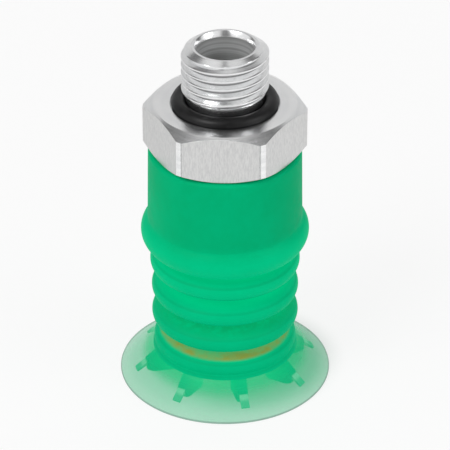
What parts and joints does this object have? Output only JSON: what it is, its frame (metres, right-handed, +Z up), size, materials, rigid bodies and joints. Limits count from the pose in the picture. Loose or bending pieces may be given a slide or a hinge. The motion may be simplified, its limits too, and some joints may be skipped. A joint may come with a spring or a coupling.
{
  "type": "bellows suction cup",
  "caption": "Bellows vacuum suction cup: threaded hexagon nipple with a sealing ring, folded silicone bellows, and a thin flared lip with ribs and a support ring in its neck.",
  "frame": {"origin": "centre of the sealing plane of the lip, where the cup stands", "axes": "+Z up the axis from the lip to the thread, -Y square to one flat of the hexagon"},
  "size_m": [0.0328, 0.0328, 0.0572],
  "materials": {
    "nipple": "turned, bright",
    "o_ring": "satin black",
    "bellows": "translucent satin green",
    "lip": "translucent satin pale green",
    "support_ring": "satin orange"
  },
  "bodies": {
    "fitting": {"nipple": "nipple", "o_ring": "o_ring", "bellows_sleeve": "bellows"},
    "valley_1": {"valley_ring_1": "bellows", "bulge_lower_wall": "bellows"},
    "fold_1": {"fold_1_ring": "bellows", "fold_1_upper_wall": "bellows"},
    "valley_2": {"valley_ring_2": "bellows", "fold_1_lower_wall": "bellows"},
    "fold_2": {"fold_2_ring": "bellows", "fold_2_upper_wall": "bellows"},
    "valley_3": {"valley_ring_3": "bellows", "fold_2_lower_wall": "bellows"},
    "fold_3": {"fold_3_ring": "bellows", "fold_3_upper_wall": "bellows"},
    "valley_4": {"valley_ring_4": "bellows", "fold_3_lower_wall": "bellows"},
    "lip": {"lip_neck": "bellows", "support_ring": "support_ring", "fold_4_upper_wall": "bellows"},
    "lip_edge": {"lip_rim": "lip", "lip_skirt": "lip"}
  },
  "joints": [
    {"name": "bellows_stroke", "type": "slide", "parent": "fitting", "child": "valley_1", "axis": [0, 0, 1], "range_m": [0, 0.0013], "stiffness_N_per_m": 2500, "deforming": ["bulge_lower_wall"]},
    {"name": "fold_1_tilt_x", "type": "hinge", "parent": "valley_1", "child": "fold_1", "pos_m": [0, 0, 0.02145], "axis": [1, 0, 0], "range_deg": [-3.5, 3.5], "stiffness_Nm_per_rad": 0.15, "deforming": ["fold_1_upper_wall"]},
    {"name": "fold_1_close", "type": "slide", "parent": "fold_1", "child": "valley_2", "axis": [0, 0, 1], "range_m": [0, 0.0022], "stiffness_N_per_m": 2500, "deforming": ["fold_1_lower_wall"]},
    {"name": "fold_2_tilt_y", "type": "hinge", "parent": "valley_2", "child": "fold_2", "pos_m": [0, 0, 0.0167], "axis": [0, 1, 0], "range_deg": [-3.5, 3.5], "stiffness_Nm_per_rad": 0.15, "deforming": ["fold_2_upper_wall"]},
    {"name": "fold_2_close", "type": "slide", "parent": "fold_2", "child": "valley_3", "axis": [0, 0, 1], "range_m": [0, 0.0022], "stiffness_N_per_m": 2500, "deforming": ["fold_2_lower_wall"]},
    {"name": "fold_3_tilt_x", "type": "hinge", "parent": "valley_3", "child": "fold_3", "pos_m": [0, 0, 0.01195], "axis": [1, 0, 0], "range_deg": [-3.5, 3.5], "stiffness_Nm_per_rad": 0.15, "deforming": ["fold_3_upper_wall"]},
    {"name": "fold_3_close", "type": "slide", "parent": "fold_3", "child": "valley_4", "axis": [0, 0, 1], "range_m": [0, 0.0022], "stiffness_N_per_m": 2500, "deforming": ["fold_3_lower_wall"]},
    {"name": "fold_4_tilt_y", "type": "hinge", "parent": "valley_4", "child": "lip", "pos_m": [0, 0, 0.0072], "axis": [0, 1, 0], "range_deg": [-3.5, 3.5], "stiffness_Nm_per_rad": 0.15, "deforming": ["fold_4_upper_wall"]},
    {"name": "lip_flatten", "type": "slide", "parent": "lip", "child": "lip_edge", "axis": [0, 0, 1], "range_m": [0, 0.0008], "stiffness_N_per_m": 2500, "deforming": ["lip_skirt"]}
  ],
  "couplings": [
    {"joint": "fold_1_close", "follows": "bellows_stroke", "ratio": 1.6923},
    {"joint": "fold_2_close", "follows": "bellows_stroke", "ratio": 1.6923},
    {"joint": "fold_3_close", "follows": "bellows_stroke", "ratio": 1.6923},
    {"joint": "fold_3_tilt_x", "follows": "fold_1_tilt_x", "ratio": 1},
    {"joint": "fold_4_tilt_y", "follows": "fold_2_tilt_y", "ratio": 1}
  ]
}
